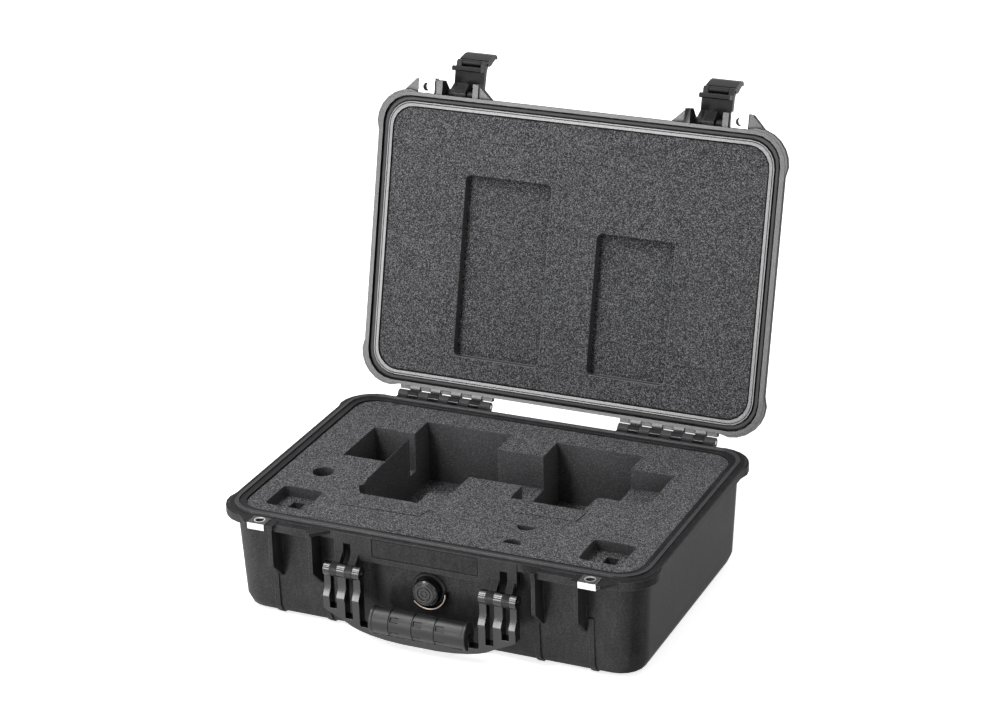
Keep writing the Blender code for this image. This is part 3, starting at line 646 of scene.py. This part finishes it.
# Place and relative thickness: of the collar from the grip's end inwards, and round each groove
GRIP_COLLAR = ((0.0515, 1.02), (0.0508, 1.055), (0.0486, 1.055), (0.0478, 0.985))
GRIP_GROOVE = ((-0.0060, 1.01), (-0.0006, 1.0), (-0.0004, 0.93), (0.0004, 0.93), (0.0006, 1.0),
               (0.0012, 1.005), (0.0050, 1.01), (0.0105, 1.01))

# Pressed marks: from and to beside each groove, then relative heights and depth of the lower and the upper
MARK_SPAN = (0.0012, 0.0105)
MARK_ROWS = ((-0.46, -0.30, 0.0009), (0.44, 0.74, 0.0014))
MARK_INSET = 0.0004


def grip_stations():
    """Places along the grip with the sleeve's relative thickness there."""
    stations = [(-place, size) for place, size in GRIP_COLLAR]
    for groove in GRIP_GROOVES:
        stations += [(groove + place, size) for place, size in GRIP_GROOVE]
    return stations + list(reversed(GRIP_COLLAR))


def grip_sleeve():
    """A rubber sleeve with end collars, grooves, pressed marks and a flat underside."""
    stations = grip_stations()
    bm = bmesh.new()
    start = stations[0][0]
    turned = Matrix.Translation((start, 0.0, 0.0)) @ Matrix.Rotation(math.pi / 2, 4, "Y")
    bmesh.ops.create_circle(bm, cap_ends=True, segments=GRIP_SIDES, radius=1.0, matrix=turned)
    ring = list(bm.edges)
    for place, size in stations[1:]:
        step = place - start
        start = place
        grown = bmesh.ops.extrude_edge_only(bm, edges=ring)["geom"]
        moved = [g for g in grown if isinstance(g, bmesh.types.BMVert)]
        ring = [g for g in grown if isinstance(g, bmesh.types.BMEdge)]
        bmesh.ops.translate(bm, verts=moved, vec=(step, 0.0, 0.0))
    bmesh.ops.holes_fill(bm, edges=ring)
    sizes = {round(place, 6): size for place, size in stations}
    for vert in bm.verts:
        size = sizes[round(vert.co.x, 6)]
        vert.co.y *= GRIP_HALF[0] * size
        vert.co.z *= GRIP_HALF[1] * size
    bmesh.ops.translate(bm, verts=bm.verts, vec=GRIP_MIDDLE)
    bmesh.ops.recalc_face_normals(bm, faces=bm.faces)
    for groove in GRIP_GROOVES:
        for down, up, depth in MARK_ROWS:
            press(bm, groove + MARK_SPAN[0], groove + MARK_SPAN[1], down, up, depth)
    everything = bm.verts[:] + bm.edges[:] + bm.faces[:]
    cut = bmesh.ops.bisect_plane(bm, geom=everything, plane_co=(0, 0, GRIP_FLOOR), plane_no=(0, 0, -1),
                                 clear_outer=True)["geom_cut"]
    bmesh.ops.holes_fill(bm, edges=[g for g in cut if isinstance(g, bmesh.types.BMEdge)])
    bmesh.ops.recalc_face_normals(bm, faces=bm.faces)
    return bm


def press(bm, low, high, down, up, depth):
    """Sink and mark the front faces of the grip between two places and two relative heights."""
    mark = bm.faces.layers.float.get(PRESSED) or bm.faces.layers.float.new(PRESSED)
    chosen = []
    for face in bm.faces:
        middle = face.calc_center_median() - GRIP_MIDDLE
        if low < middle.x < high and middle.y < 0 and down < middle.z / GRIP_HALF[1] < up:
            chosen.append(face)
    walls = bmesh.ops.inset_region(bm, faces=chosen, thickness=MARK_INSET, depth=-depth,
                                   use_even_offset=True)["faces"]
    for face in chosen + walls:
        face[mark] = 1.0


class CASE_OT_handle(bpy.types.Operator):
    """Finish the handle's bow and its rubber sleeve"""

    bl_idname = "case.handle"
    bl_label = "Handle"

    def execute(self, context):
        finished("handle_frame", "satin", "handle", PLAIN_CREASE, BOW_ROUND)
        piece(grip_sleeve(), "handle_grip_finish", "grip", "handle", ("handle_grip",), TURNED_CREASE)
        return {"FINISHED"}


# The vent's middle, and outlines as radius and distance in front of it
VENT_MIDDLE = Vector((0.0, -0.1487, 0.0640))
CAP_PROFILE = ((0.0, 0.0134), (0.0022, 0.0134), (0.0026, 0.0127), (0.0034, 0.0127), (0.0038, 0.0136),
               (0.0060, 0.0136), (0.0064, 0.0127), (0.0072, 0.0127), (0.0076, 0.0138), (0.0096, 0.0138),
               (0.0100, 0.0129), (0.0107, 0.0129), (0.0111, 0.0134), (0.0124, 0.0129), (0.0134, 0.0117),
               (0.0138, 0.0100), (0.0138, 0.0052), (0.0124, 0.0052), (0.0124, 0.0090), (0.0, 0.0090))
CAP_STEPS = 60
GUARD_WALL = ((0.0184, -0.0020), (0.0200, -0.0020), (0.0200, 0.0060), (0.0196, 0.0066), (0.0188, 0.0066),
              (0.0184, 0.0060))
# The bead on the guard's rim is a painted highlight of the vent's rim
BEAD_MIDDLE = (0.0192, 0.0069)
BEAD_RADIUS = 0.0006
GUARD_BEAD = tuple((BEAD_MIDDLE[0] + BEAD_RADIUS * math.cos(k * math.pi / 4),
                    BEAD_MIDDLE[1] + BEAD_RADIUS * math.sin(k * math.pi / 4)) for k in range(8))

# Slots in the cap's rim: every so many degrees, that many wide, between two radii,
# past a distance to the front
SLOT_EVERY, SLOT_TURN = 72, 11
SLOT_RADII = (0.0112, 0.0133)
SLOT_HEIGHT = 0.0110
SLOT_INSET, SLOT_DEEP = 0.00015, 0.0008

# The guard's sweep round the vent's lower side, in degrees
GUARD_START, GUARD_SWEEP = 2, 136
GUARD_STEPS = 34


def vent_disc():
    """The vent's cap, turned from its profile, with slots round its rim."""
    bm = bmesh.new()
    points = [bm.verts.new((radius, -height, 0.0)) for radius, height in CAP_PROFILE]
    edges = [bm.edges.new(pair) for pair in zip(points, points[1:])]
    bmesh.ops.spin(bm, geom=points + edges, cent=(0, 0, 0), axis=(0, 1, 0), angle=2 * math.pi,
                   steps=CAP_STEPS, use_merge=True)
    bmesh.ops.remove_doubles(bm, verts=bm.verts, dist=CAP_MERGE_WITHIN)
    bmesh.ops.recalc_face_normals(bm, faces=bm.faces)
    slots = []
    for face in bm.faces:
        middle = face.calc_center_median()
        turn = math.degrees(math.atan2(middle.z, middle.x)) % SLOT_EVERY
        on_rim = SLOT_RADII[0] < math.hypot(middle.x, middle.z) < SLOT_RADII[1]
        if on_rim and middle.y < -SLOT_HEIGHT and turn < SLOT_TURN:
            slots.append(face)
    bmesh.ops.inset_region(bm, faces=slots, thickness=SLOT_INSET, depth=-SLOT_DEEP)
    bmesh.ops.translate(bm, verts=bm.verts, vec=VENT_MIDDLE)
    return bm


def vent_arc(profile):
    """A lip that follows the lower side of the vent, swept from a closed profile."""
    bm = bmesh.new()
    points = [bm.verts.new((radius, -height, 0.0)) for radius, height in profile]
    edges = [bm.edges.new(pair) for pair in zip(points, points[1:] + points[:1])]
    start = Matrix.Rotation(math.radians(GUARD_START), 3, "Y")
    bmesh.ops.rotate(bm, verts=points, cent=(0, 0, 0), matrix=start)
    swept = bmesh.ops.spin(bm, geom=points + edges, cent=(0, 0, 0), axis=(0, 1, 0),
                           angle=math.radians(GUARD_SWEEP), steps=GUARD_STEPS)["geom_last"]
    bmesh.ops.holes_fill(bm, edges=edges + [g for g in swept if isinstance(g, bmesh.types.BMEdge)])
    bmesh.ops.recalc_face_normals(bm, faces=bm.faces)
    bmesh.ops.translate(bm, verts=bm.verts, vec=VENT_MIDDLE)
    return bm


class CASE_OT_vent(bpy.types.Operator):
    """Finish the pressure vent"""

    bl_idname = "case.vent"
    bl_label = "Vent"

    def execute(self, context):
        for node in ("vent_body", "vent_nut"):
            finished(node, "satin", "base")
        finished("vent_seal", "seal", "base")
        piece(vent_disc(), "vent_cap_finish", "satin", "base", ("vent_cap",), TURNED_CREASE)
        piece(vent_arc(GUARD_WALL), "vent_guard", "satin", "base", (), TURNED_CREASE)
        # Painted highlight: a bright warm metal bead along the guard's lower arc
        piece(vent_arc(GUARD_BEAD), "vent_guard_bead", "bead", "base", (), ROUND_CREASE)
        return {"FINISHED"}


class CASE_OT_name_plate(bpy.types.Operator):
    """Finish the bare name plate"""

    bl_idname = "case.name_plate"
    bl_label = "Name plate"

    def execute(self, context):
        finished("name_plate", "plate", "base", PLAIN_CREASE, MOULDED_ROUND)
        return {"FINISHED"}


# The floor's half size, how far it lies under the case, and where its glow rises from dim to full white
FLOOR_HALF = 14.0
FLOOR_DROP = 0.0004
FLOOR_NEAR, FLOOR_FAR = 0.6, 2.6
FLOOR_DIM = 0.76

# How strongly the white surrounding lights the case, where 1 is how it looks
WORLD_LIGHT = 0.20

# Each lamp: name, place, target, width and height, power in watts
LAMPS = (
    ("key_softbox", (-0.95, -0.75, 2.3), (0.0, 0.0, 0.1), (0.9, 0.9), 35.0),
    ("high_softbox", (-0.90, -1.75, 1.65), (0.0, -0.1, 0.1), (0.46, 0.40), 14.0),
    ("front_softbox", (-1.0, -2.35, 0.53), (0.0, 0.2, 0.30), (0.86, 0.68), 20.0),
    ("right_fill", (2.2, -0.6, 1.2), (0.0, 0.0, 0.15), (1.0, 1.0), 5.5),
    ("back_fill", (0.9, 2.3, 1.5), (0.0, 0.1, 0.2), (1.2, 1.0), 14.0),
    ("top_softbox", (-0.3, 0.8, 2.4), (0.0, 0.0, 0.1), (2.0, 1.4), 14.0),
)

# The camera without lens shift that comes nearest to the one fitted to the photograph
CAMERA_PLACE = (1.08998, -2.39651, 1.36512)
CAMERA_TURN = (1.16917, 0.02227, 0.41250)
CAMERA_LENS = 103.447
SENSOR_WIDTH = 36.0


def studio_white():
    """Matt white that glows towards the camera, a little dimmer near the case."""
    g = Graph(bpy.data.materials.new("studio_white"))
    g.set(Base_Color=(0.86, 0.86, 0.86, 1.0), Roughness=0.9)
    matt = Made(g, g.shader).out()
    away = g.node("ShaderNodeVectorMath", {"operation": "LENGTH"}, {0: g.place()}).out("Value")
    white = g.tint(away.spread(FLOOR_NEAR, FLOOR_FAR), (FLOOR_DIM,) * 3, (1.0,) * 3)
    glow = g.node("ShaderNodeEmission", None, {"Color": white, "Strength": 1.0}).out()
    both = g.node("ShaderNodeAddShader", None, {0: glow, 1: matt}).out()
    mixed = g.node("ShaderNodeMixShader", None, {0: g.seen().below(0.5), 1: both, 2: matt}).out()
    g.put(g.tree.nodes["Material Output"].inputs["Surface"], mixed)
    return g.owner


def studio_floor(scene):
    """A wide floor just under the case."""
    bm = bmesh.new()
    bmesh.ops.create_grid(bm, x_segments=1, y_segments=1, size=FLOOR_HALF)
    bmesh.ops.translate(bm, verts=bm.verts, vec=(0.0, 0.0, -FLOOR_DROP))
    mesh = bpy.data.meshes.new("studio_floor")
    bm.to_mesh(mesh)
    bm.free()
    mesh.materials.append(studio_white())
    floor = bpy.data.objects.new("studio_floor", mesh)
    scene.collection.objects.link(floor)


def studio_world(scene):
    """A white surrounding that lights the case only faintly."""
    scene.world = bpy.data.worlds.new("studio_world")
    g = Graph(scene.world, "Background")
    g.set(Color=(1.0, 1.0, 1.0, 1.0), Strength=g.seen().spread(0.0, 1.0, WORLD_LIGHT, 1.0))


def lamp(scene, name, place, target, size, power):
    light = bpy.data.lights.new(name, "AREA")
    light.shape = "RECTANGLE"
    light.size, light.size_y = size
    light.energy = power
    obj = bpy.data.objects.new(name, light)
    obj.location = place
    obj.rotation_euler = (Vector(target) - Vector(place)).to_track_quat("-Z", "Y").to_euler()
    scene.collection.objects.link(obj)


def photo_camera(scene):
    data = bpy.data.cameras.new("photo_camera")
    data.sensor_fit = "HORIZONTAL"
    data.sensor_width = SENSOR_WIDTH
    data.lens = CAMERA_LENS
    camera = bpy.data.objects.new("photo_camera", data)
    camera.location = CAMERA_PLACE
    camera.rotation_euler = CAMERA_TURN
    scene.collection.objects.link(camera)
    scene.camera = camera


class CASE_OT_stage(bpy.types.Operator):
    """Set up the floor, the light and the camera"""

    bl_idname = "case.stage"
    bl_label = "Studio"

    def execute(self, context):
        scene = context.scene
        studio_floor(scene)
        studio_world(scene)
        for settings in LAMPS:
            lamp(scene, *settings)
        photo_camera(scene)
        scene.view_settings.view_transform = "Standard"
        return {"FINISHED"}


STEPS = (CASE_OT_shells, CASE_OT_foam, CASE_OT_seal, CASE_OT_pins, CASE_OT_latches, CASE_OT_lock_plates,
         CASE_OT_handle, CASE_OT_vent, CASE_OT_name_plate, CASE_OT_stage)


class CASE_PT_panel(bpy.types.Panel):
    """Steps and settings of the case"""

    bl_idname = "CASE_PT_panel"
    bl_label = "Drone carrying case"
    bl_space_type = "VIEW_3D"
    bl_region_type = "UI"
    bl_category = "Case"

    def draw(self, context):
        for group in (context.scene.case_sizes, context.scene.case_colours):
            for name in group.__annotations__:
                self.layout.prop(group, name)
        for step in STEPS:
            self.layout.operator(step.bl_idname)


CLASSES = (CaseSizes, CaseColours, *STEPS, CASE_PT_panel)


def register():
    for cls in CLASSES:
        bpy.utils.register_class(cls)
    bpy.types.Scene.case_sizes = PointerProperty(type=CaseSizes)
    bpy.types.Scene.case_colours = PointerProperty(type=CaseColours)


def unregister():
    del bpy.types.Scene.case_colours
    del bpy.types.Scene.case_sizes
    for cls in reversed(CLASSES):
        bpy.utils.unregister_class(cls)


def main():
    register()
    bpy.ops.case.shells()
    bpy.ops.case.foam()
    bpy.ops.case.seal()
    bpy.ops.case.pins()
    bpy.ops.case.latches()
    bpy.ops.case.lock_plates()
    bpy.ops.case.handle()
    bpy.ops.case.vent()
    bpy.ops.case.name_plate()
    bpy.ops.case.stage()


if __name__ == "__main__":
    main()
